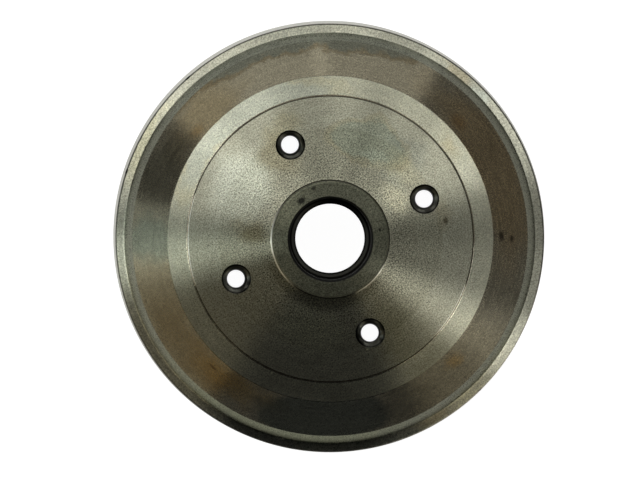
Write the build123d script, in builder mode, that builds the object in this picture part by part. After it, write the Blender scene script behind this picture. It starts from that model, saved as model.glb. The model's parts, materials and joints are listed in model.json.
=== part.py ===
from build123d import *
from math import hypot, sqrt
import os

# Rear brake drum, cast and turned in one piece with its wheel hub.
# It stands on its open rim. The origin is the middle of the rim's plane, and +Z runs up the
# axle line, out of the face that the wheel is bolted against. All sizes are in millimetres.

# brake track and open rim
friction_diameter = 180.0  # the face that the shoes press on
rebate_step = 8.0  # the rim's rebate stands this far outside the friction face
rebate_depth = 7.0  # the backing plate's edge dips this far into the rim
track_lead_in = 1.0  # chamfer where the shoes slide onto the friction face

# outside of the side wall, from the wheel face down to the rim
drum_depth = 54.0  # open rim to wheel face
wall_thickness = 7.7  # friction face to the foot of the cone, measured radially
cone_width = 17.8  # radial width of the cone between wheel face and wall
cone_drop = 13.6  # fall of the cone over that width
wall_flare = 4.1  # the wall grows this much on its way down to the band
flare_drop = 4.9
band_ledge = 4.5  # flat ledge on top of the stiffening band
band_draft = 2.7  # the band's side leans out this much down to the rim
edge_break = 0.6  # chamfer on the band's and the rim's turned edges

# wheel face
web_thickness = 12.0  # wheel face to the flat ceiling inside
cone_wall = 8.5  # metal behind the cone, square to it
land_width = 9.3  # outer land around the face that the wheel seats on
land_step = 0.6  # the land lies this far below the wheel face
step_run = 1.0  # radial width of the slope from the face down to the land
spigot_height = 7.5  # centring spigot above the wheel face
spigot_wall = 8.56  # metal around the outer bearing seat
spigot_chamfer = 0.8
spigot_fillet = 1.0

# wheel bolts
bolt_count = 4
bolt_circle = 100.0
bolt_thread = 12.0  # nominal thread diameter
bolt_pitch = 1.5
countersink_width = 2.06  # how far the countersink opens beyond the threaded hole

# hub bore, from the spigot down
outer_seat_diameter = 39.88  # press seat of the outer bearing cup
outer_seat_depth = 20.0  # spigot top to the cup's shoulder
seat_chamfer = 1.05
cup_shoulder = 2.84  # height of the shoulder that a cup seats on
rib_length = 6.0  # full-thickness rib under the outer cup
inner_seat_diameter = 50.29  # press seat of the inner bearing cup
inner_seat_depth = 14.2
seal_step = 0.85  # the seal's bore is this much larger in radius than the cup's seat
seal_depth = 8.0
hub_recess = 5.0  # the hub's inner end stops this far short of the rim's plane
hub_wall = 8.0  # metal around the seal's bore
hub_draft = 2.0  # the hub grows this much on its way up to the web

# cast corners inside
corner_fillet = 2.5
ceiling_fillet = 8.0
hub_fillet = 4.0

# radii that follow
friction_radius = friction_diameter / 2
rebate_radius = friction_radius + rebate_step
wall_radius = friction_radius + wall_thickness
flare_radius = wall_radius + wall_flare
band_radius = flare_radius + band_ledge
rim_radius = band_radius + band_draft
land_radius = wall_radius - cone_width
face_radius = land_radius - land_width - step_run
outer_seat_radius = outer_seat_diameter / 2
spigot_radius = outer_seat_radius + spigot_wall
inner_seat_radius = inner_seat_diameter / 2
seal_radius = inner_seat_radius + seal_step
hub_radius = seal_radius + hub_wall
thread_depth_factor = 5 / 8 * sqrt(3)  # of the pitch, taken off the nominal diameter
bolt_hole_radius = (bolt_thread - thread_depth_factor * bolt_pitch) / 2

# heights that follow
face_z = drum_depth
spigot_z = face_z + spigot_height
land_z = face_z - land_step
wall_z = land_z - cone_drop
band_z = wall_z - flare_drop
ceiling_z = face_z - web_thickness
outer_shoulder_z = spigot_z - outer_seat_depth
rib_z = outer_shoulder_z - rib_length
seal_z = hub_recess + seal_depth
inner_shoulder_z = seal_z + inner_seat_depth

# the inner cone runs parallel to the outer one, a wall's thickness below it
cone_slope = cone_drop / cone_width
cone_gap = cone_wall * hypot(1, cone_slope)
friction_z = land_z - cone_gap - cone_slope * (friction_radius - land_radius)
ceiling_radius = land_radius + (land_z - cone_gap - ceiling_z) / cone_slope

with BuildPart() as brake_drum:
    # the turned outside, as a solid of revolution
    with BuildSketch(Plane.XZ):
        with BuildLine():
            Polyline(
                (0, 0),
                (rim_radius - edge_break, 0),
                (rim_radius, edge_break),
                (band_radius, band_z - edge_break),
                (band_radius - edge_break, band_z),
                (flare_radius, band_z),
                (wall_radius, wall_z),
                (land_radius, land_z),
                (face_radius + step_run, land_z),
                (face_radius, face_z),
                (spigot_radius, face_z),
                (spigot_radius, spigot_z - spigot_chamfer),
                (spigot_radius - spigot_chamfer, spigot_z),
                (0, spigot_z),
                close=True,
            )
        make_face()
    revolve(axis=Axis.Z)
    spigot_foot = (
        edges().filter_by(GeomType.CIRCLE).group_by(Axis.Z)[-3].sort_by(SortBy.RADIUS)[0]
    )
    fillet(spigot_foot, spigot_fillet)

    # the space for the shoes, around the hub
    with BuildSketch(Plane.XZ):
        with BuildLine():
            FilletPolyline(
                (0, 0),
                (rebate_radius, 0),
                (rebate_radius, rebate_depth),
                (friction_radius + track_lead_in, rebate_depth),
                (friction_radius, rebate_depth + track_lead_in),
                (friction_radius, friction_z),
                (ceiling_radius, ceiling_z),
                (hub_radius + hub_draft, ceiling_z),
                (hub_radius, hub_recess),
                (0, hub_recess),
                radius=[0, 0, 0, 0, 0, corner_fillet, ceiling_fillet, hub_fillet, 0, 0],
                close=True,
            )
        make_face()
    revolve(axis=Axis.Z, mode=Mode.SUBTRACT)

    # the stepped bore for two tapered roller bearings and a seal
    with BuildSketch(Plane.XZ):
        with BuildLine():
            Polyline(
                (0, hub_recess),
                (seal_radius + seal_step, hub_recess),
                (seal_radius, hub_recess + seal_step),
                (seal_radius, seal_z),
                (inner_seat_radius, seal_z),
                (inner_seat_radius, inner_shoulder_z),
                (inner_seat_radius - cup_shoulder, inner_shoulder_z),
                (outer_seat_radius - cup_shoulder, rib_z),
                (outer_seat_radius - cup_shoulder, outer_shoulder_z),
                (outer_seat_radius, outer_shoulder_z),
                (outer_seat_radius, spigot_z - seat_chamfer),
                (outer_seat_radius + seat_chamfer, spigot_z),
                (0, spigot_z),
                close=True,
            )
        make_face()
    revolve(axis=Axis.Z, mode=Mode.SUBTRACT)

    # threaded holes for the wheel bolts, at their core diameter
    with Locations((0, 0, face_z)):
        with PolarLocations(bolt_circle / 2, bolt_count):
            CounterSinkHole(
                bolt_hole_radius,
                bolt_hole_radius + countersink_width,
                counter_sink_angle=90,
            )

brake_drum.part.label = "brake_drum"
os.makedirs("parts", exist_ok=True)
export_step(brake_drum.part, "parts/brake_drum.step")
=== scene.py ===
import bpy
import json
from math import acos, cos, hypot, pi, radians, sin, tan, tau
from mathutils import Matrix, Vector


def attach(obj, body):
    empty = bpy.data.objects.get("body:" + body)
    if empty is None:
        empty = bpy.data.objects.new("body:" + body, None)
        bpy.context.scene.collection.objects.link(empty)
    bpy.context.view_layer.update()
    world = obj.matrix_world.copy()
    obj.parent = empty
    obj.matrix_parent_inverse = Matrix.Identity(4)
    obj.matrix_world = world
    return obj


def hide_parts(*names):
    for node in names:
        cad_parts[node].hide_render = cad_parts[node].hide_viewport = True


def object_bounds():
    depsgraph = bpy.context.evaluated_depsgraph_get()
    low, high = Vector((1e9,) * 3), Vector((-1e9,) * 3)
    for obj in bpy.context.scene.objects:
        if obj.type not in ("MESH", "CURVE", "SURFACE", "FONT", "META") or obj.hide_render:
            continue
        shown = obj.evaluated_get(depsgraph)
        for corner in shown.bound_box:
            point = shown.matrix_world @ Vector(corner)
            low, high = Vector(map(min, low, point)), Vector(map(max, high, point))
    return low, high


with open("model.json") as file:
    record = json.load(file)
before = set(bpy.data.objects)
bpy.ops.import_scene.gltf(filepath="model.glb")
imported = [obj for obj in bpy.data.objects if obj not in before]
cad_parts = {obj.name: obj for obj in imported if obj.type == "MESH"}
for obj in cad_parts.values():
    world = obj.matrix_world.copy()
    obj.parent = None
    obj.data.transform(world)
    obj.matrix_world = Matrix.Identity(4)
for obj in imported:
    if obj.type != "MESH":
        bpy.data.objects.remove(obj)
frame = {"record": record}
cadBox = [list(corner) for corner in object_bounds()]
print("frame loaded")

mm = 0.001
mounts = {mount["name"]: mount for mount in frame["record"]["mounts"]}
viewTurn = radians(23)  # how far the camera is rolled from the drum's own axes
viewRight = Vector((cos(viewTurn), -sin(viewTurn), 0))
viewUp = Vector((sin(viewTurn), cos(viewTurn), 0))


def mountRadius(name):
    return mounts[name]["dims"]["r_mm"]


# the drum's sizes in mm: those that the frame gives, its turned and cast steps, and how the mesh is cut
drumForm = {
    "rimRadius": cadBox[1][0] / mm,
    "spigotTop": cadBox[1][2] / mm,
    "faceHeight": mounts["wheel_face"]["pos_m"][2] / mm,
    "spigotRadius": mountRadius("spigot"),
    "outerSeat": mountRadius("outer_bearing_seat"),
    "innerSeat": mountRadius("inner_bearing_seat"),
    "sealRadius": mountRadius("seal_bore"),
    "frictionRadius": mountRadius("friction_face"),
    "bandDraft": 2.7,
    "bandLedge": 4.5,
    "wallFlare": 4.1,
    "flareDrop": 4.9,
    "coneWidth": 17.8,
    "coneDrop": 13.6,
    "landWidth": 9.3,
    "landStep": 0.6,
    "stepRun": 1.0,
    "edgeBreak": 0.6,
    "spigotChamfer": 0.8,
    "spigotFillet": 1.0,
    "seatChamfer": 1.05,
    "outerSeatDepth": 20.0,
    "cupShoulder": 2.84,
    "ribLength": 6.0,
    "innerSeatDepth": 14.2,
    "sealStep": 0.85,
    "sealDepth": 8.0,
    "hubRecess": 5.0,
    "hubWall": 8.0,
    "hubDraft": 2.0,
    "webThickness": 12.0,
    "coneWall": 8.5,
    "rebateStep": 8.0,
    "rebateDepth": 7.0,
    "trackLeadIn": 1.0,
    "segments": 324,
    "ringPitch": 3.6,
    "longRun": 4.8,  # runs longer than this get rings at the pitch
    "shortRun": 1.2,  # runs longer than this get two
    "flatGuard": 0.35,
    "arcStep": 18,
    "sharpAngle": 32,
}


def drumSection(form):
    # corners as (radius, height, rounding), once round the section from the bore's mouth outwards
    f = form
    band = f["rimRadius"] - f["bandDraft"]
    flare = band - f["bandLedge"]
    wall = flare - f["wallFlare"]
    land = wall - f["coneWidth"]
    face = land - f["landWidth"] - f["stepRun"]
    landZ = f["faceHeight"] - f["landStep"]
    wallZ = landZ - f["coneDrop"]
    bandZ = wallZ - f["flareDrop"]
    ceilingZ = f["faceHeight"] - f["webThickness"]
    slope = f["coneDrop"] / f["coneWidth"]
    gap = f["coneWall"] * hypot(1, slope)
    track = f["frictionRadius"]
    trackTop = landZ - gap - slope * (track - land)
    ceiling = land + (landZ - gap - ceilingZ) / slope
    hub = f["sealRadius"] + f["hubWall"]
    top = f["spigotTop"]
    sealZ = f["hubRecess"] + f["sealDepth"]
    innerZ = sealZ + f["innerSeatDepth"]
    outerZ = top - f["outerSeatDepth"]
    rib = f["outerSeat"] - f["cupShoulder"]
    edge = f["edgeBreak"]
    return [
        (f["outerSeat"] + f["seatChamfer"], top, 0.15),
        (f["spigotRadius"] - f["spigotChamfer"], top, 0.4),
        (f["spigotRadius"], top - f["spigotChamfer"], 0.4),
        (f["spigotRadius"], f["faceHeight"], f["spigotFillet"]),
        (face, f["faceHeight"], 0.2),
        (face + f["stepRun"], landZ, 0.2),
        (land, landZ, 0.3),
        (wall, wallZ, 0.6),
        (flare, bandZ, 0.5),
        (band - edge, bandZ, 0.2),
        (band, bandZ - edge, 0.2),
        (f["rimRadius"], edge, 0.2),
        (f["rimRadius"] - edge, 0, 0.2),
        (track + f["rebateStep"], 0, 0.3),
        (track + f["rebateStep"], f["rebateDepth"], 0.4),
        (track + f["trackLeadIn"], f["rebateDepth"], 0.2),
        (track, f["rebateDepth"] + f["trackLeadIn"], 0.2),
        (track, trackTop, 2.5),
        (ceiling, ceilingZ, 8.0),
        (hub + f["hubDraft"], ceilingZ, 4.0),
        (hub, f["hubRecess"], 0.6),
        (f["sealRadius"] + f["sealStep"], f["hubRecess"], 0.15),
        (f["sealRadius"], f["hubRecess"] + f["sealStep"], 0.15),
        (f["sealRadius"], sealZ, 0.15),
        (f["innerSeat"], sealZ, 0.15),
        (f["innerSeat"], innerZ, 0.3),
        (f["innerSeat"] - f["cupShoulder"], innerZ, 0.3),
        (rib, outerZ - f["ribLength"], 1.0),
        (rib, outerZ, 0.3),
        (f["outerSeat"], outerZ, 0.3),
        (f["outerSeat"], top - f["seatChamfer"], 0.15),
    ]


def roundedLoop(corners, form):
    # each corner becomes an arc of its own rounding
    loop = []
    count = len(corners)
    for k in range(count):
        before, here, after = (Vector(corners[(k + d) % count][:2]) for d in (-1, 0, 1))
        radius = corners[k][2]
        a, b = (before - here).normalized(), (after - here).normalized()
        half = acos(max(-1, min(1, a.dot(b)))) / 2
        reach = radius / tan(half)
        centre = here + (a + b).normalized() * (radius / sin(half))
        first, last = here + a * reach - centre, here + b * reach - centre
        turn = pi - 2 * half
        steps = max(2, round(turn / radians(form["arcStep"])))
        side = 1 if first.x * last.y - first.y * last.x > 0 else -1
        loop += [centre + Matrix.Rotation(side * turn * s / steps, 2) @ first for s in range(steps + 1)]
    return loop


def ringedLoop(loop, form):
    # the runs between the arcs get rings, so that no face of the mesh is long and thin
    guard = form["flatGuard"]
    full = []
    for k, point in enumerate(loop):
        run = loop[(k + 1) % len(loop)] - point
        full.append(point)
        if run.length > form["longRun"]:
            # a ring close to each end keeps the flat between them flat when shaded
            inner = run.length - 2 * guard
            parts = max(1, round(inner / form["ringPitch"]))
            full += [point + run * ((guard + inner * p / parts) / run.length) for p in range(parts + 1)]
        elif run.length > form["shortRun"]:
            full += [point + run * share for share in (0.25, 0.75)]
    return full


def spunMesh(name, loop, segments):
    vertices, faces = [], []
    rings = len(loop)
    for s in range(segments):
        angle = tau * s / segments
        vertices += [(p.x * cos(angle) * mm, p.x * sin(angle) * mm, p.y * mm) for p in loop]
    for s in range(segments):
        here, there = s * rings, (s + 1) % segments * rings
        for r in range(rings):
            onward = (r + 1) % rings
            faces.append((here + r, here + onward, there + onward, there + r))
    return newMesh(name, vertices, faces)


def newMesh(name, vertices, faces):
    mesh = bpy.data.meshes.new(name)
    mesh.from_pydata(vertices, [], faces)
    mesh.update()
    return mesh


def addObject(name, data):
    piece = bpy.data.objects.new(name, data)
    bpy.context.scene.collection.objects.link(piece)
    return piece


boltHoles = {
    "count": mounts["wheel_bolts"]["dims"]["count"],
    "circleRadius": mounts["wheel_bolts"]["dims"]["pcd_mm"] / 2,
    "coreRadius": mounts["wheel_bolts"]["dims"]["hole_r_mm"],
    "threadDepth": 0.81,
    "pitch": 1.5,
    "grooveFlat": 1.35,  # above 1, so that the groove's bottom is cut off flat
    "grooveFlank": 3.4,
    "countersinkWidth": 2.06,
    "overrun": 1.0,
    "stepsPerTurn": 48,
    "ringsPerPitch": 8,
}


def threadCutter(form, hole):
    # four plugs with the thread's groove winding round them and the countersink's cone on top
    h = hole
    n = h["stepsPerTurn"]
    top = form["faceHeight"] + h["overrun"]
    bottom = form["faceHeight"] - form["webThickness"] - h["overrun"]
    rings = round((top - bottom) / h["pitch"] * h["ringsPerPitch"])
    vertices, faces = [], []
    for k in range(h["count"]):
        heading = tau * k / h["count"]
        cx, cy = h["circleRadius"] * cos(heading), h["circleRadius"] * sin(heading)
        first = len(vertices)
        for r in range(rings + 1):
            z = top + (bottom - top) * r / rings
            below = form["faceHeight"] - z
            cone = h["coreRadius"] + h["countersinkWidth"] - below
            for s in range(n):
                angle = tau * s / n
                phase = (z / h["pitch"] - s / n) % 1
                share = max(0, min(1, h["grooveFlat"] - abs(phase - 0.5) * h["grooveFlank"]))
                radius = max(cone, h["coreRadius"] + h["threadDepth"] * share)
                vertices.append(((cx + radius * cos(angle)) * mm, (cy + radius * sin(angle)) * mm, z * mm))
        for r in range(rings):
            for s in range(n):
                a, b = first + r * n + s, first + r * n + (s + 1) % n
                faces.append((a, a + n, b + n, b))
        faces.append(tuple(first + s for s in range(n)))
        faces.append(tuple(first + rings * n + n - 1 - s for s in range(n)))
    return newMesh("threadCutter", vertices, faces)


def cutAway(piece, cutter):
    cut = piece.modifiers.new("cut", "BOOLEAN")
    cut.operation, cut.solver, cut.object = "DIFFERENCE", "EXACT", cutter
    graph = bpy.context.evaluated_depsgraph_get()
    made = bpy.data.meshes.new_from_object(piece.evaluated_get(graph))
    piece.modifiers.clear()
    old, piece.data = piece.data, made
    bpy.data.meshes.remove(old)
    bpy.data.objects.remove(cutter)


def makeDrum(form, hole):
    loop = ringedLoop(roundedLoop(drumSection(form), form), form)
    drum = addObject("drumCasting", spunMesh("drumCasting", loop, form["segments"]))
    cutAway(drum, addObject("threadCutter", threadCutter(form, hole)))
    drum.data.shade_smooth()
    drum.data.set_sharp_from_angle(angle=radians(form["sharpAngle"]))
    return drum


drum = makeDrum(drumForm, boltHoles)
print("drum spun and bored:", len(drum.data.polygons), "faces")

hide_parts("brake_drum")
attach(drum, "root")


class Wire:
    # one output of a node; arithmetic on it adds Math nodes
    def __init__(self, finish, socket):
        self.finish = finish
        self.socket = socket

    def beside(self, name):
        # another output of the same node
        return Wire(self.finish, self.socket.node.outputs[name])

    def math(self, operation, *others, flipped=False):
        values = [self, *others]
        if flipped:
            values.reverse()
        return self.finish.add("ShaderNodeMath", {"operation": operation}, dict(enumerate(values)))

    def __add__(self, other):
        return self.math("ADD", other)

    def __sub__(self, other):
        return self.math("SUBTRACT", other)

    def __rsub__(self, other):
        return self.math("SUBTRACT", other, flipped=True)

    def __mul__(self, other):
        return self.math("MULTIPLY", other)

    def __abs__(self):
        return self.math("ABSOLUTE")

    __radd__, __rmul__ = __add__, __mul__


class Finish:
    # a material under construction
    def __init__(self, name):
        self.material = bpy.data.materials.new(name)
        self.material.use_nodes = True
        self.nodes = self.material.node_tree.nodes
        self.links = self.material.node_tree.links
        self.nodes.clear()

    def add(self, kind, settings=None, inputs=None, output=0):
        node = self.nodes.new(kind)
        for name, value in (settings or {}).items():
            if name == "stops":
                self.setStops(node.color_ramp, value)
            else:
                setattr(node, name, value)
        for name, value in (inputs or {}).items():
            if isinstance(value, Wire):
                self.links.new(value.socket, node.inputs[name])
            else:
                node.inputs[name].default_value = value
        return Wire(self, node.outputs[output]) if node.outputs else None

    def setStops(self, ramp, stops):
        while len(ramp.elements) < len(stops):
            ramp.elements.new(1)
        for element, (place, colour) in zip(ramp.elements, stops):
            element.position = place
            element.color = self.colour(colour)

    def colour(self, value):
        return value if isinstance(value, Wire) or len(value) == 4 else (*value, 1)

    def blend(self, share, a, b):
        settings = {"data_type": "RGBA", "blend_type": "MIX", "clamp_factor": True}
        inputs = {0: share, 6: self.colour(a), 7: self.colour(b)}
        return self.add("ShaderNodeMix", settings, inputs, 2)

    def vector(self, operation, a, b=None, scale=None, output=0):
        inputs = {0: a}
        if b is not None:
            inputs[1] = b
        if scale is not None:
            inputs["Scale"] = scale
        return self.add("ShaderNodeVectorMath", {"operation": operation}, inputs, output)

    def length(self, vector):
        return self.vector("LENGTH", vector, output=1)

    def dot(self, a, b):
        return self.vector("DOT_PRODUCT", a, b, output=1)

    def combine(self, x, y, z):
        return self.add("ShaderNodeCombineXYZ", {}, {0: x, 1: y, 2: z})

    def span(self, value, low, high, a=0, b=1, smooth=True):
        # value between low and high becomes a to b, held outside
        how = "SMOOTHSTEP" if smooth else "LINEAR"
        settings = {"interpolation_type": how, "clamp": True}
        return self.add("ShaderNodeMapRange", settings, {0: value, 1: low, 2: high, 3: a, 4: b})

    def band(self, value, low, high, soft):
        # 1 between low and high, 0 outside
        return self.span(value, low - soft, low + soft) * self.span(value, high - soft, high + soft, 1, 0)

    def noise(self, place, scale, detail=2, rough=0.5, warp=0, output=0):
        inputs = {"Vector": place, "Scale": scale, "Detail": detail, "Roughness": rough, "Distortion": warp}
        return self.add("ShaderNodeTexNoise", {"noise_dimensions": "3D"}, inputs, output)

    def swing(self, noise, reach, a=-1, b=1, smooth=True):
        # the middle of a noise, 0.5 give or take reach, becomes a to b
        return self.span(noise, 0.5 - reach, 0.5 + reach, a, b, smooth)

    def placeInMm(self):
        # the object's own coordinates
        return self.vector("SCALE", self.add("ShaderNodeTexCoord", output=3), scale=1 / mm)


turnedIron = {
    # rings by the radius at which they start; lean tips the shading outwards, as fine grooves do
    "zones": {
        "face": {"from": 0, "colour": (0.310, 0.305, 0.225), "rough": 0.34, "lean": 0.27},
        "faceMiddle": {"from": 43, "colour": (0.330, 0.325, 0.240), "rough": 0.33, "lean": 0.27},
        "faceOuter": {"from": 55, "colour": (0.370, 0.365, 0.275), "rough": 0.32, "lean": 0.27},
        # painted shade: a near-black line on the upper part of the step's slope
        "stepTop": {"from": 69.65, "colour": (0.022, 0.017, 0.010), "rough": 0.5, "lean": -0.19},
        "step": {"from": 70.25, "colour": (0.34, 0.33, 0.25), "rough": 0.18, "lean": -0.09},
        "land": {"from": 70.65, "colour": (0.450, 0.446, 0.335), "rough": 0.32, "lean": 0.27},
        "cone": {"from": 79.75, "colour": (0.150, 0.137, 0.096), "rough": 0.27, "lean": 0.0},
        "wall": {"from": 97.7, "colour": (0.180, 0.182, 0.140), "rough": 0.28, "lean": 0.0},
        "ledge": {"from": 101.8, "colour": (0.450, 0.446, 0.350), "rough": 0.32, "lean": 0.27},
        # painted shade: a dark line on the chamfer at the ledge's outer corner
        "edge": {"from": 105.5, "colour": (0.10, 0.098, 0.08), "rough": 0.45, "lean": 0.0},
        "band": {"from": 106.15, "colour": (0.39, 0.385, 0.34), "rough": 0.36, "lean": 0.0},
    },
    "zoneSoft": 0.15,
    "lineSoft": 0.1,  # how soft the edges of stains and painted lines are
    "spigotFace": {
        "heights": (-1.3, -0.9),  # from the spigot's top
        "colour": (0.112, 0.114, 0.078),
        "rough": 0.42,
        "lean": 0.2,
        "metallic": 0.75,
    },
    "inside": {
        # below a straight line under the outside, given by the radius and height of its ends
        "lineFrom": (79.9, 48),
        "lineTo": (101.8, 20),
        "reach": 101,
        "fade": 0.5,
        "colour": (0.40, 0.39, 0.34),
        "calm": 0.6,  # how much weaker its grain is
    },
    "anisotropy": 0.9,
    "noises": {
        # scale, detail, roughness, and a distortion for the pits
        "grain": (1.5, 2, 0.6),
        "rings": (1, 3, 0.7),
        "streaks": (1, 2, 0.5),
        "clouds": (0.35, 3, 0.6),
        "pits": (1.2, 2, 0.5, 0.5),
        "drift": (0.06, 2, 0.5),
        "ragged": (0.45, 3, 0.65),
    },
    "grainReach": 0.18,
    "grainDepth": {  # by radius
        0: 0.55, 28: 0.6, 32: 0.95, 45: 0.7, 60: 0.5, 75: 0.42,
        80: 0.36, 97: 0.36, 102: 0.42, 105: 0.42, 107: 0.22,
    },
    "ringPitch": 1.1,
    "streaksRound": 6,
    "streaksAcross": 0.9,
    "shadeReach": 0.2,
    "shadeSwing": {"rings": 0.07, "streaks": 0.05, "clouds": 0.07},
    "roughSwing": {"grain": 0.08, "streaks": 0.05},
    "pits": {
        "edge": (0.64, 0.69),
        "strength": 0.7,
        "fadeFrom": 58,
        "fadeTo": 72,
        "fadeShare": 0.3,
        "colour": (0.05, 0.045, 0.03),
    },
    "outlinePull": {"drift": 16, "ragged": 5},  # how far the noises pull the patches' outlines, in mm
    "marksAbove": (33.2, 33.6),  # heights over the rim, so that nicks don't run down the band's side
    "foot": {
        # painted shade: the dark line round the spigot's foot, with two stretches of painted glint
        "inwards": 0.25,
        "outwards": 0.7,
        "heights": (1.2, 1.8),  # from the wheel face
        "colour": (0.03, 0.028, 0.02),
        "glints": {
            "left": (262, 28.8, 19, 3, 0.3, (20, 21, 26), None),
            "right": (136, 28.8, 9, 3, 0.4, (22, 23, 28), None),
        },
        "dust": 0.06,  # how much less metallic the face is beside the foot
        "dustFrom": 28,
        "dustTo": 46,
    },
    "boltMouths": {
        "lipWidth": 0.75,
        "threadEdge": (-0.1, 0.15),  # from the thread's core
        "lipColour": (0.016, 0.016, 0.013),
        "coneColour": (0.09, 0.09, 0.075),
        # painted shade: the thread down the hole is coloured near black
        "threadColour": (0.012, 0.012, 0.01),
    },
    "bore": {
        "chamfer": (0.8, 1.15),  # where its walls end, outside the outer seat
        "heights": (30, 31),
        "reach": (16.9, 20.6),
        # painted shade: near black at the bore's inner edge and in the corner by the outer seat, with a
        # grey band on the shoulder between
        "tones": [
            (0.0, (0.01, 0.01, 0.008)),
            (0.16, (0.012, 0.012, 0.01)),
            (0.28, (0.10, 0.10, 0.085)),
            (0.5, (0.12, 0.12, 0.10)),
            (0.62, (0.01, 0.01, 0.008)),
            (1.0, (0.01, 0.01, 0.008)),
        ],
        "rougher": 0.3,
    },
    "bump": {"strength": 0.3, "depth": 0.12, "rings": 0.5, "coneFrom": 79, "coneTo": 81, "cone": 0.4},
}
stainsAndPaintedLight = {
    # oil and rust marks mixed with patches of painted shade and painted highlight
    # kept to one turned surface, from its inner to its outer radius; each patch has its clock angle,
    # radius, half length round the drum, half width, softness, tint and its tide mark's tint
    "spigot": {"from": 20, "to": 28.2, "patches": {
        "paleLeft": (298, 24, 10, 5, 0.8, (1.30, 1.31, 1.27), None),
    }},
    "face": {"from": 29, "to": 69.6, "patches": {
        "cloud": (22, 51.5, 19, 11.5, 0.25, (0.79, 0.85, 0.84), (1.05, 0.98, 0.90)),
        "cloudRight": (40, 60, 12, 6, 0.4, (0.87, 0.89, 0.91), None),
        "haloRight": (47, 51, 10, 5, 0.5, (1.14, 1.12, 1.07), None),
        "holeBrown": (327, 47, 9, 10, 0.5, (0.86, 0.82, 0.74), None),
        "holeBrownTop": (336, 59, 9, 7, 0.5, (0.86, 0.83, 0.75), None),
        # painted highlight on the face's bright fan at the left
        "leftBright": (300, 51, 15, 13, 0.6, (1.38, 1.44, 1.52), None),
        "leftBrown": (275, 38, 7, 7, 0.6, (0.68, 0.62, 0.52), None),
        # painted highlight on the face's fan near the spigot at the upper right
        "rightBright": (58, 37, 8, 6, 0.5, (1.50, 1.47, 1.42), None),
        "pale": (33, 44, 12, 4, 0.4, (1.14, 1.16, 1.18), None),
        "rightDark": (75, 57, 6, 5, 0.6, (0.88, 0.85, 0.80), None),
        # painted light, lifting the spigot's shadow on the face below it
        "footPale": (193, 46, 15, 9, 0.5, (1.30, 1.32, 1.26), None),
        # painted shade on the lower right
        "lowerRightDark": (145, 56, 10, 16, 0.6, (0.72, 0.72, 0.68), None),
    }},
    "stepTop": {"from": 69.6, "to": 70.2, "patches": {
        # painted highlights on the step's slope, at the left and the lower right
        "litLeft": (270, 70, 22, 6, 0.12, (12, 12, 12), None),
        "litRight": (121, 70, 14, 6, 0.2, (9, 9, 9), None),
    }},
    "step": {"from": 70.2, "to": 70.65, "patches": {
        # painted shade along the top of the step
        "topDark": (21, 70, 88, 6, 0.06, (0.45, 0.42, 0.38), None),
    }},
    "land": {"from": 70.65, "to": 79.75, "patches": {
        "brown": (50, 74.5, 6, 3, 0.8, (0.97, 0.91, 0.82), None),
        "pale": (64, 75, 9, 5, 0.5, (1.16, 1.16, 1.18), None),
        "paleLeft": (325, 75, 50, 7, 0.25, (1.05, 1.09, 1.15), (1.05, 1.0, 0.90)),
        # painted shade, darker towards the bottom
        "footDark": (188, 75, 34, 6, 0.5, (0.80, 0.80, 0.80), None),
        # painted shade on the lower right
        "lowRightDark": (142, 75, 12, 5, 0.6, (0.80, 0.80, 0.78), None),
    }},
    "cone": {"from": 79.75, "to": 97.7, "patches": {
        "tide": (350, 98.5, 64, 5.5, 0.35, (0.52, 0.58, 0.62), (0.84, 0.74, 0.62)),
        "leftPale": (270, 89, 11, 12, 0.4, (0.84, 0.95, 1.00), None),
        # painted shade, standing in for a dark reflection
        "leftDark": (292, 89, 16, 12, 0.5, (0.66, 0.68, 0.67), None),
        "gold": (215, 86, 20, 7, 0.7, (1.02, 0.84, 0.56), None),
        "goldWide": (230, 88, 30, 10, 0.4, (0.80, 0.74, 0.66), None),
        # painted shade, darker towards the bottom and the lower right
        "footDark": (182, 89, 32, 14, 0.16, (0.40, 0.46, 0.50), None),
        "footRight": (155, 89, 16, 14, 0.6, (0.66, 0.66, 0.64), None),
        "orange": (135, 84, 5, 3, 0.8, (1.15, 0.96, 0.70), None),
        "brownLeft": (314, 87, 22, 9, 0.6, (0.98, 0.90, 0.77), None),
        "rightBrown": (66, 88, 46, 12, 0.5, (1.18, 1.02, 0.82), None),
    }},
    "wall": {"from": 97.7, "to": 101.8, "patches": {
        # painted light, lifting the shade at the wall's bottom beside the ledge
        "footPale": (195, 99, 60, 6, 0.5, (1.10, 1.12, 0.98), None),
        # painted shade at the top and at the right
        "topDark": (350, 99, 70, 6, 0.3, (0.72, 0.74, 0.74), None),
        "rightDark": (90, 99, 90, 6, 0.3, (0.84, 0.84, 0.82), None),
    }},
    "ledge": {"from": 101.8, "to": 105.5, "patches": {
        "brown": (38, 104, 9, 3, 0.6, (0.99, 0.92, 0.82), None),
        "blue": (45, 104, 5, 3, 0.6, (0.93, 0.99, 1.04), None),
        # painted highlights at the left and at the top
        "leftPale": (298, 104, 20, 4, 0.5, (1.10, 1.08, 0.96), None),
        "topPale": (350, 104, 14, 4, 0.6, (1.12, 1.14, 1.14), None),
        # painted shade, darker towards the bottom
        "footDark": (188, 104, 42, 6, 0.22, (0.46, 0.47, 0.47), None),
        "brownLow": (150, 104, 8, 3, 0.6, (0.98, 0.91, 0.82), None),
        # painted highlight on the lower right
        "paleLow": (137, 104, 9, 4, 0.6, (1.38, 1.37, 1.32), None),
    }},
    "edge": {"from": 105.5, "to": 106.15, "patches": {
        # painted highlight along the chamfer on the lower right
        "lit": (135, 106, 56, 4, 0.3, (3.4, 3.4, 3.3), None),
    }},
}
tideMark = {"line": 0.03, "fade": 0.2, "strength": 0.8}
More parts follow.
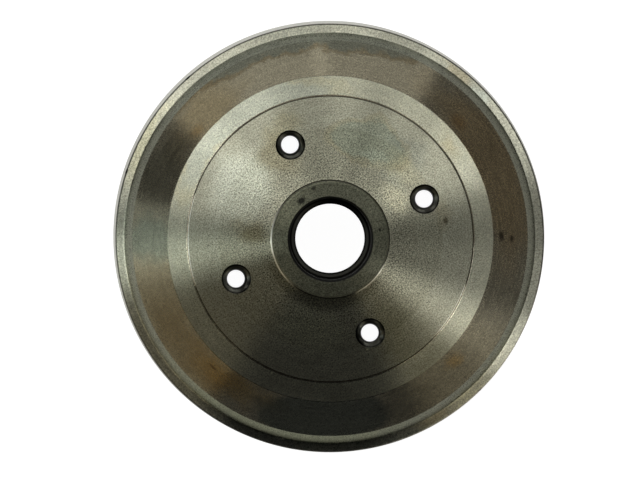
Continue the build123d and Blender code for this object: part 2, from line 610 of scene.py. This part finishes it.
marks = {
    # small nicks, pits and flecks, laid out in the same way
    "nickLeft": (288.2, 106.2, 1.3, 0.9, 0.4, (0.03, 0.03, 0.03), None),
    "nickTopLeft": (318.4, 106.2, 1.6, 0.8, 0.4, (0.03, 0.03, 0.03), None),
    "spigotPit": (323, 23.6, 2.1, 1.5, 0.5, (0.10, 0.10, 0.10), None),
    "spigotPitSmall": (341.6, 26.2, 1.1, 0.9, 0.6, (0.25, 0.25, 0.25), None),
    "spigotPitRight": (79, 24.4, 0.8, 0.6, 0.5, (0.20, 0.20, 0.20), None),
    "faceSpot": (81, 57.1, 1.4, 1.2, 0.6, (0.35, 0.33, 0.30), None),
    "coneSpot": (89, 84.0, 2.2, 1.3, 0.6, (0.22, 0.21, 0.20), None),
    "coneSpotOuter": (90, 89.3, 1.6, 1.0, 0.6, (0.22, 0.21, 0.20), None),
    "coneNick": (222.5, 85.4, 2.6, 0.4, 0.5, (0.45, 0.40, 0.34), None),
    "coneBrownTop": (309, 84, 3.5, 2.2, 0.8, (0.92, 0.82, 0.70), None),
    "coneBrownRight": (47.5, 85, 4, 3, 0.8, (0.95, 0.82, 0.68), None),
    "landFleck": (203.5, 71.6, 0.6, 0.5, 0.4, (1.9, 1.9, 1.8), None),
    "faceFleck": (161.5, 56.8, 0.6, 0.5, 0.4, (1.9, 1.9, 1.8), None),
}


def drumPlace(f):
    # where a point of the drum lies, in mm
    point = f.placeInMm()
    x = f.add("ShaderNodeSeparateXYZ", {}, {0: point})
    flat = f.vector("MULTIPLY", point, (1, 1, 0))
    return {
        "point": point,
        "x": x,
        "y": x.beside("Y"),
        "height": x.beside("Z"),
        "flat": flat,
        "radius": f.length(flat),
        "outward": f.vector("NORMALIZE", flat),
    }


def zoneShares(f, radius, zones, soft):
    # how far each zone after the first has taken over at this radius
    starts = [zone["from"] for zone in list(zones.values())[1:]]
    return [f.span(radius, start - soft, start + soft, smooth=False) for start in starts]


def zoneNumber(shares, zones, key):
    numbers = [zone[key] for zone in zones.values()]
    value = numbers[0]
    for share, before, here in zip(shares, numbers, numbers[1:]):
        value = value + share * (here - before)
    return value


def zoneColour(f, shares, zones):
    colours = [zone["colour"] for zone in zones.values()]
    value = colours[0]
    for share, colour in zip(shares, colours[1:]):
        value = f.blend(share, value, colour)
    return value


def rampByRadius(f, radius, stops):
    # straight runs between the given radii
    places = list(stops)
    value = stops[places[0]]
    for near, far in zip(places, places[1:]):
        value = value + f.span(radius, near, far, 0, stops[far] - stops[near], smooth=False)
    return value


def insideShare(f, at, inside):
    (near, nearHeight), (far, farHeight) = inside["lineFrom"], inside["lineTo"]
    line = f.span(at["radius"], near, far, nearHeight, farHeight, smooth=False)
    below = f.span(at["height"] - line, 0, inside["fade"], 1, 0)
    return below * f.span(at["radius"], inside["reach"], inside["reach"] + inside["fade"], 1, 0)


def turnedGrain(f, at, look):
    # the iron's grain, the turning lines, streaks along them and broad clouds
    wound = f.vector("SCALE", at["outward"], scale=look["streaksRound"])
    places = {
        "grain": at["point"],
        "rings": f.combine(at["radius"] * look["ringPitch"], 0, 0),
        "streaks": f.vector("ADD", wound, f.combine(0, 0, at["radius"] * look["streaksAcross"])),
        "clouds": at["point"],
    }
    return {name: f.noise(place, *look["noises"][name]) for name, place in places.items()}


def addGrain(f, at, colour, grains, inside, look):
    depth = rampByRadius(f, at["radius"], look["grainDepth"]) * (1 - inside * look["inside"]["calm"])
    shade = 1 + depth * f.swing(grains["grain"], look["grainReach"], smooth=False)
    for name, swing in look["shadeSwing"].items():
        shade = shade * f.swing(grains[name], look["shadeReach"], 1 - swing, 1 + swing)
    colour = f.vector("SCALE", colour, scale=shade)
    pits = look["pits"]
    pitted = f.span(f.noise(at["point"], *look["noises"]["pits"]), *pits["edge"])
    pitted = pitted * f.span(at["radius"], pits["fadeFrom"], pits["fadeTo"], 1, pits["fadeShare"])
    return f.blend(pitted * pits["strength"], colour, pits["colour"])


def addPatches(f, colour, spot, patches):
    # soft oval patches bent round the axle, with a tide mark where one has a tint for it
    turn = f.dot(spot, viewRight).math("ARCTAN2", f.dot(spot, viewUp))
    reach = f.length(spot)
    plain = (1, 1, 1)
    for clock, radius, along, across, soft, tint, edge in patches.values():
        ahead = (turn - radians(clock)).math("WRAP", pi, -pi) * (radius / along)
        way = f.length(f.combine(ahead, (reach - radius) * (1 / across), 0))
        colour = f.vector("MULTIPLY", colour, f.blend(f.span(way, 1 - soft, 1 + soft, 1, 0), plain, tint))
        if edge:
            tide = f.span(abs(way - 1), tideMark["line"], tideMark["fade"], tideMark["strength"], 0)
            colour = f.vector("MULTIPLY", colour, f.blend(tide, plain, edge))
    return colour


def addStainsAndPaintedLight(f, at, colour, look):
    # oil and rust marks, and patches of painted shade and painted highlight, their outlines pulled about by
    # two sizes of noise
    spot = at["flat"]
    for name, pull in look["outlinePull"].items():
        shift = f.vector("ADD", f.noise(at["point"], *look["noises"][name], output=1), (-0.5, -0.5, -0.5))
        spot = f.vector("ADD", spot, f.vector("SCALE", shift, scale=pull))
    spot = f.vector("MULTIPLY", spot, (1, 1, 0))
    for surface in stainsAndPaintedLight.values():
        here = f.band(at["radius"], surface["from"], surface["to"], look["lineSoft"])
        colour = f.blend(here, colour, addPatches(f, colour, spot, surface["patches"]))
    above = f.span(at["height"], *look["marksAbove"])
    return f.blend(above, colour, addPatches(f, colour, at["flat"], marks))


def addFootLine(f, at, colour, look, form):
    # painted shade in the corner at the spigot's foot, with painted glints along it
    foot, radius = look["foot"], form["spigotRadius"]
    low, high = (form["faceHeight"] + step for step in foot["heights"])
    share = f.band(at["radius"], radius - foot["inwards"], radius + foot["outwards"], look["lineSoft"])
    share = share * f.span(at["height"], low, high, 1, 0)
    return f.blend(share, colour, addPatches(f, foot["colour"], at["flat"], foot["glints"]))


def boltWay(f, x, y, hole):
    # the distance from the nearest bolt hole's middle, with the four folded onto one
    across, along = abs(x), abs(y)
    major, minor = across.math("MAXIMUM", along), across.math("MINIMUM", along)
    return f.length(f.combine(major - hole["circleRadius"], minor, 0))


def addBoltMouths(f, at, colour, look, hole):
    # a dark lip, the countersink's cone and the thread, which is coloured near black as painted shade down
    # the hole
    mouths, soft = look["boltMouths"], look["lineSoft"]
    way = boltWay(f, at["x"], at["y"], hole)
    edge = hole["coreRadius"] + hole["countersinkWidth"]
    lip = edge - mouths["lipWidth"]
    low, high = (hole["coreRadius"] + step for step in mouths["threadEdge"])
    tone = f.blend(f.span(way, lip - soft, lip + soft), mouths["coneColour"], mouths["lipColour"])
    tone = f.blend(f.span(way, low, high, 1, 0), tone, mouths["threadColour"])
    share = f.span(way, edge - soft, edge + soft, 1, 0)
    return f.blend(share, colour, tone), share


def addBore(f, at, colour, bore, form):
    near, far = (form["outerSeat"] + step for step in bore["chamfer"])
    share = f.span(at["radius"], near, far, 1, 0) * f.span(at["height"], *bore["heights"])
    tone = f.span(at["radius"], *bore["reach"], smooth=False)
    tone = f.add("ShaderNodeValToRGB", {"stops": bore["tones"]}, {0: tone})
    return f.blend(share, colour, tone), share


def makeTurnedIron(look, form, hole):
    f = Finish("turnedIron")
    at = drumPlace(f)
    grains = turnedGrain(f, at, look)
    inside = insideShare(f, at, look["inside"])
    top = look["spigotFace"]
    onTop = f.span(at["height"], *(form["spigotTop"] + step for step in top["heights"]))

    zones = look["zones"]
    shares = zoneShares(f, at["radius"], zones, look["zoneSoft"])
    colour = f.blend(onTop, zoneColour(f, shares, zones), top["colour"])
    colour = f.blend(inside, colour, look["inside"]["colour"])
    rough = zoneNumber(shares, zones, "rough") + onTop * (top["rough"] - zones["face"]["rough"])
    lean = zoneNumber(shares, zones, "lean") + onTop * (top["lean"] - zones["face"]["lean"])
    lean = lean * (1 - inside)

    colour = addGrain(f, at, colour, grains, inside, look)
    colour = addStainsAndPaintedLight(f, at, colour, look)
    colour = addFootLine(f, at, colour, look, form)
    colour, sunk = addBoltMouths(f, at, colour, look, hole)
    colour, bored = addBore(f, at, colour, look["bore"], form)
    lean = lean * (1 - sunk)

    for name, swing in look["roughSwing"].items():
        rough = rough + (grains[name] - 0.5) * swing
    rough = rough + bored * look["bore"]["rougher"]
    foot, bump = look["foot"], look["bump"]
    dust = f.span(at["radius"], foot["dustFrom"], foot["dustTo"], foot["dust"], 0)
    metallic = 1 - onTop * (1 - top["metallic"]) - dust * (1 - onTop)
    relief = grains["grain"] + grains["rings"] * bump["rings"]
    relief = relief * f.span(at["radius"], bump["coneFrom"], bump["coneTo"], 1, bump["cone"])
    heights = {"Strength": bump["strength"], "Distance": bump["depth"] * mm, "Height": relief}
    leaning = f.vector("SCALE", at["outward"], scale=lean)
    leaning = f.vector("ADD", f.add("ShaderNodeBump", {}, heights), leaning)

    shader = f.add("ShaderNodeBsdfPrincipled", {}, {
        "Base Color": colour,
        "Metallic": metallic,
        "Roughness": rough,
        "Anisotropic": look["anisotropy"],
        "Anisotropic Rotation": 0.25,  # the turned grooves run round the axle
        "Normal": f.vector("NORMALIZE", leaning),
    })
    f.add("ShaderNodeOutputMaterial", {}, {0: shader})
    return f.material


castSkin = {
    "colour": (0.115, 0.108, 0.092),
    "darkShare": 0.6,
    "shadeReach": 0.2,
    "dust": (0.20, 0.155, 0.10),
    "dustStrength": 0.5,
    "dustEdge": (0.5, 0.75),
    "sand": (0.9, 4, 0.65),  # noise scale, detail and roughness
    "clouds": (0.06, 3, 0.6),
    "roughness": 0.62,
    "roughSwing": 0.1,
    "roughReach": 0.3,
    "metallic": 0.55,
    "bumpStrength": 0.6,
    "bumpDepth": 0.6,
    # it covers the hollow between the hub's outside and the brake track, up to a line under the cone
    "fromHub": -0.4,
    "fromTrack": -0.3,
    "hubEnd": 5.4,
    "webTop": 48,
    "coneFrom": 70,
    "coneSlope": 0.55,
}


def makeCastSkin(look):
    f = Finish("castSkin")
    place = f.placeInMm()
    sand = f.noise(place, *look["sand"])
    dusty = f.span(f.noise(place, *look["clouds"]), *look["dustEdge"])
    dark = [part * look["darkShare"] for part in look["colour"]]
    colour = f.blend(f.swing(sand, look["shadeReach"], 0, 1), look["colour"], dark)
    colour = f.blend(dusty * look["dustStrength"], colour, look["dust"])
    low, high = look["roughness"] - look["roughSwing"], look["roughness"] + look["roughSwing"]
    heights = {"Strength": look["bumpStrength"], "Distance": look["bumpDepth"] * mm, "Height": sand}
    shader = f.add("ShaderNodeBsdfPrincipled", {}, {
        "Base Color": colour,
        "Metallic": look["metallic"],
        "Roughness": f.swing(sand, look["roughReach"], low, high),
        "Normal": f.add("ShaderNodeBump", {}, heights),
    })
    f.add("ShaderNodeOutputMaterial", {}, {0: shader})
    return f.material


def isCastSkin(centre, look, form):
    # centre is in mm
    radius, height = hypot(centre.x, centre.y), centre.z
    near = form["sealRadius"] + form["hubWall"] + look["fromHub"]
    far = form["frictionRadius"] + look["fromTrack"]
    roof = look["webTop"] - look["coneSlope"] * max(0, radius - look["coneFrom"])
    return near < radius < far and look["hubEnd"] < height < roof


drum.data.materials.clear()
drum.data.materials.append(makeTurnedIron(turnedIron, drumForm, boltHoles))
drum.data.materials.append(makeCastSkin(castSkin))
for polygon in drum.data.polygons:
    polygon.material_index = int(isCastSkin(polygon.center / mm, castSkin, drumForm))
print("iron finish made")


studio = {
    "floorSize": 30.0,
    "floorWhite": 0.97,
    "floorPaint": 0.2,
    "floorGap": 0.0001,
    "edgeFade": 1,
    "rimInset": 3,
    "spotRadius": 4.28,
    "spotSoft": 0.25,
    "spotSpread": 1.034,  # the camera sees the floor this much wider than the wheel face
    "spotShift": (0.0, -1.2),
    "underDepth": 0.6,
    "underSize": 0.6,
    "underBrightness": 2.0,
    "room": (0.01, 0.01, 0.01),
}


def paintedFloorLightAndShadow(f, settings, form, hole, flat, under):
    # painted shadow: under the drum the floor's glow is taken away, but for one round spot of painted light
    # below the bore and each bolt hole
    rightShift, upShift = settings["spotShift"]
    spots = f.vector("ADD", flat, (-rightShift, -upShift, 0))
    x = f.add("ShaderNodeSeparateXYZ", {}, {0: f.vector("SCALE", spots, scale=1 / settings["spotSpread"])})
    way = boltWay(f, x, x.beside("Y"), hole)
    lit = f.span(under, form["sealRadius"], form["sealRadius"] + settings["edgeFade"], 1, 0)
    lit = lit + f.span(under, form["frictionRadius"], form["rimRadius"] - settings["rimInset"])
    low, high = settings["spotRadius"] - settings["spotSoft"], settings["spotRadius"] + settings["spotSoft"]
    return (lit + f.span(way, low, high, 1, 0)).math("MINIMUM", 1)


def makeFloorPaint(settings, form, hole):
    f = Finish("studioFloor")
    cameraRay = f.add("ShaderNodeLightPath")  # its first output
    seen = cameraRay.math("MAXIMUM", cameraRay.beside("Is Glossy Ray"))
    seen = seen.math("MAXIMUM", cameraRay.beside("Is Transmission Ray"))
    flat = f.placeInMm()
    under = f.length(flat)
    glow = f.add("ShaderNodeEmission", {}, {
        "Color": f.blend(seen * paintedFloorLightAndShadow(f, settings, form, hole, flat, under), (0, 0, 0), (1, 1, 1)),
        "Strength": settings["floorWhite"],
    })
    paint = f.add("ShaderNodeBsdfDiffuse", {}, {"Color": (*(settings["floorPaint"],) * 3, 1)})
    both = f.add("ShaderNodeAddShader", {}, {0: glow, 1: paint})
    # clear to a camera below it, and to the light below it that shows the drum's inside
    behind = f.add("ShaderNodeNewGeometry").beside("Backfacing")
    hollow = f.span(under, form["frictionRadius"], form["frictionRadius"] + settings["edgeFade"], 1, 0)
    clear = (behind * cameraRay).math("MAXIMUM", hollow * cameraRay.beside("Is Shadow Ray"))
    seeThrough = f.add("ShaderNodeBsdfTransparent")
    floor = f.add("ShaderNodeMixShader", {}, {0: clear, 1: both, 2: seeThrough})
    f.add("ShaderNodeOutputMaterial", {}, {0: floor})
    return f.material


def makeStudio(settings, form, hole):
    half = settings["floorSize"] / 2
    corners = [(-half, -half, 0), (half, -half, 0), (half, half, 0), (-half, half, 0)]
    floor = addObject("studioFloor", newMesh("studioFloor", corners, [(0, 1, 2, 3)]))
    floor.data.materials.append(makeFloorPaint(settings, form, hole))
    floor.location.z = -settings["floorGap"]
    lamp = bpy.data.lights.new("underLight", "AREA")
    lamp.size = settings["underSize"]
    lamp.energy = settings["underBrightness"] * pi * lamp.size ** 2
    underLight = addObject("underLight", lamp)
    below = Matrix.Translation((0, 0, -settings["underDepth"]))
    underLight.matrix_world = below @ Matrix.Rotation(pi, 4, "X")
    world = bpy.data.worlds.new("room")
    bpy.context.scene.world = world
    world.use_nodes = True
    world.node_tree.nodes["Background"].inputs["Color"].default_value = (*settings["room"], 1)


softboxes = {
    "reach": 1.5,
    "height": 12,  # degrees, as the drum sees it
    "lamps": {
        # clock angle from the top, width round the drum, angle from overhead, brightness, colour
        "topMiddle": (-10, 50, 45, 2.75, (1.0, 1.0, 1.0)),
        "topRight": (20, 35, 44, 2.10, (1.0, 1.0, 1.0)),
        "topLeft": (-36, 26, 34, 3.00, (1.0, 1.0, 1.0)),
        "rightShoulder": (39, 24, 46, 2.90, (1.0, 1.0, 1.0)),
        "rightKey": (60, 25, 36, 5.00, (1.0, 1.0, 1.0)),
        "leftKey": (297, 36, 42, 4.55, (1.0, 1.0, 1.0)),
        "leftShoulder": (309, 16, 44, 1.40, (1.0, 1.0, 1.0)),
        "rightStrip": (121.5, 15, 56, 7.40, (1.0, 1.0, 1.0)),
        "rightWall": (136, 32, 62, 2.20, (1.08, 0.98, 0.78)),
        "leftWall": (270, 20, 67, 3.30, (0.90, 1.0, 1.02)),
        "leftStrip": (262, 14, 56, 7.00, (0.94, 1.0, 0.98)),
        "rightLow": (86, 34, 52, 1.41, (1.0, 1.0, 1.0)),
        "rightGap": (106, 19, 52, 1.60, (1.0, 1.0, 1.0)),
        "topWallLeft": (333, 52, 75, 3.35, (1.0, 1.0, 1.0)),
        "topWallRight": (15, 38, 74, 2.80, (1.0, 1.0, 1.0)),
        "leftLow": (239, 46, 71, 1.75, (1.12, 0.98, 0.72)),
    },
}


def addSoftbox(name, settings, hub, clock, width, overhead, brightness, colour):
    reach = settings["reach"]
    clock, width, overhead = radians(clock), radians(width), radians(overhead)
    level = viewRight * sin(clock) + viewUp * cos(clock)
    away = level * sin(overhead) + Vector((0, 0, cos(overhead)))
    lamp = bpy.data.lights.new(name, "AREA")
    lamp.shape = "RECTANGLE"
    lamp.size = 2 * reach * sin(overhead) * tan(width / 2)
    lamp.size_y = 2 * reach * tan(radians(settings["height"]) / 2)
    lamp.energy = brightness * pi * lamp.size * lamp.size_y
    lamp.color = colour
    across = Vector((0, 0, 1)).cross(away).normalized()
    piece = addObject(name, lamp)
    turn = Matrix((across, away.cross(across), away)).transposed()
    piece.matrix_world = Matrix.Translation(hub + away * reach) @ turn.to_4x4()


shot = {
    "distance": 1.6,
    "tilt": 1.55,
    "tiltTowards": -30,  # clock angle
    "lens": 183.9,
    "sensor": 36,
    "aimRight": -5.09,
    "aimUp": -0.455,
}


def addCamera(settings, hub):
    clock, tilt = radians(settings["tiltTowards"]), radians(settings["tilt"])
    level = viewRight * sin(clock) + viewUp * cos(clock)
    place = hub + settings["distance"] * (level * sin(tilt) + Vector((0, 0, cos(tilt))))
    aim = hub + viewRight * (settings["aimRight"] * mm) + viewUp * (settings["aimUp"] * mm)
    ahead = (aim - place).normalized()
    right = ahead.cross(viewUp).normalized()
    up = right.cross(ahead)
    camera = addObject("camera", bpy.data.cameras.new("camera"))
    camera.matrix_world = Matrix.Translation(place) @ Matrix((right, up, -ahead)).transposed().to_4x4()
    camera.data.lens, camera.data.sensor_width = settings["lens"], settings["sensor"]
    camera.data.clip_end = 100
    bpy.context.scene.camera = camera


hub = Vector((0, 0, drumForm["faceHeight"] * mm))
makeStudio(studio, drumForm, boltHoles)
for name, lamp in softboxes["lamps"].items():
    addSoftbox(name, softboxes, hub, *lamp)
addCamera(shot, hub)
bpy.context.scene.view_settings.view_transform = "Standard"
print("studio ready")
